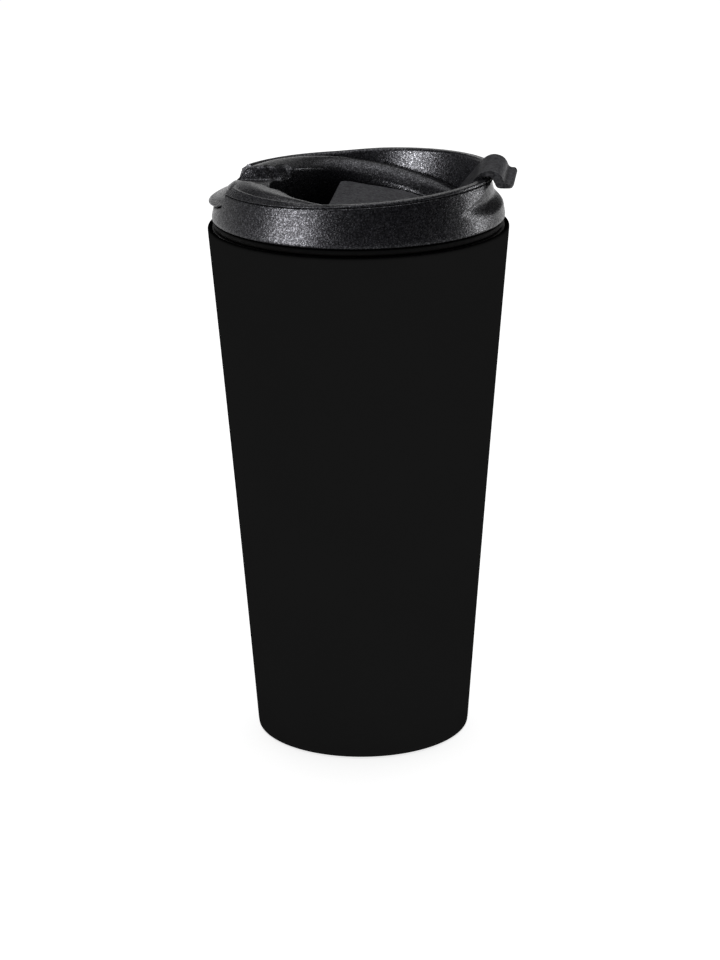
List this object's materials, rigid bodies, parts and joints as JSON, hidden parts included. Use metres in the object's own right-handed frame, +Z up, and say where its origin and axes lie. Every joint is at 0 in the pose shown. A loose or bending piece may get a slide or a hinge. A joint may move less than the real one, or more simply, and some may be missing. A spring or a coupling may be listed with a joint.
{
  "type": "insulated tumbler with lid",
  "caption": "Tapered double-wall steel tumbler with a push-on lid, a raised sloping drinking wall and a hinged flip lever that hooks over it.",
  "frame": {"origin": "centre of the base pad's underside", "axes": "+Z up along the cup's axis, +X towards the lever's thumb hook, -X towards the lid's lift tab"},
  "size_m": [0.0902, 0.0884, 0.1746],
  "materials": {
    "cup_paint": "matt black powder coat",
    "bare_steel": "satin stainless steel",
    "pearl_plastic": "charcoal plastic with fine metallic flake",
    "textured_plastic": "charcoal plastic with flake and a fine spark texture",
    "dark_plastic": "moulded satin black",
    "silicone": "matt black silicone"
  },
  "bodies": {
    "cup": {"outer_shell": "cup_paint", "inner_liner": "bare_steel", "base_plate": "bare_steel", "vacuum_seal_bead": "bare_steel", "getter_disc": "bare_steel", "base_pad": "silicone"},
    "lid": {"lid_sleeve": "pearl_plastic", "lid_top": "pearl_plastic", "lid_plug": "dark_plastic", "rim_gasket": "silicone", "plug_seal_ring": "silicone", "hinge_pin": "bare_steel"},
    "lever": {"flip_lever": "textured_plastic", "drink_stopper": "silicone", "vent_stopper": "silicone"}
  },
  "joints": [
    {"name": "lid_lift", "type": "slide", "parent": "cup", "child": "lid", "axis": [0, 0, 1], "range_m": [0, 0.05]},
    {"name": "lever_hinge", "type": "hinge", "parent": "lid", "child": "lever", "pos_m": [-0.006, 0, 0.1586], "axis": [0, -1, 0], "range_deg": [0, 100]}
  ]
}
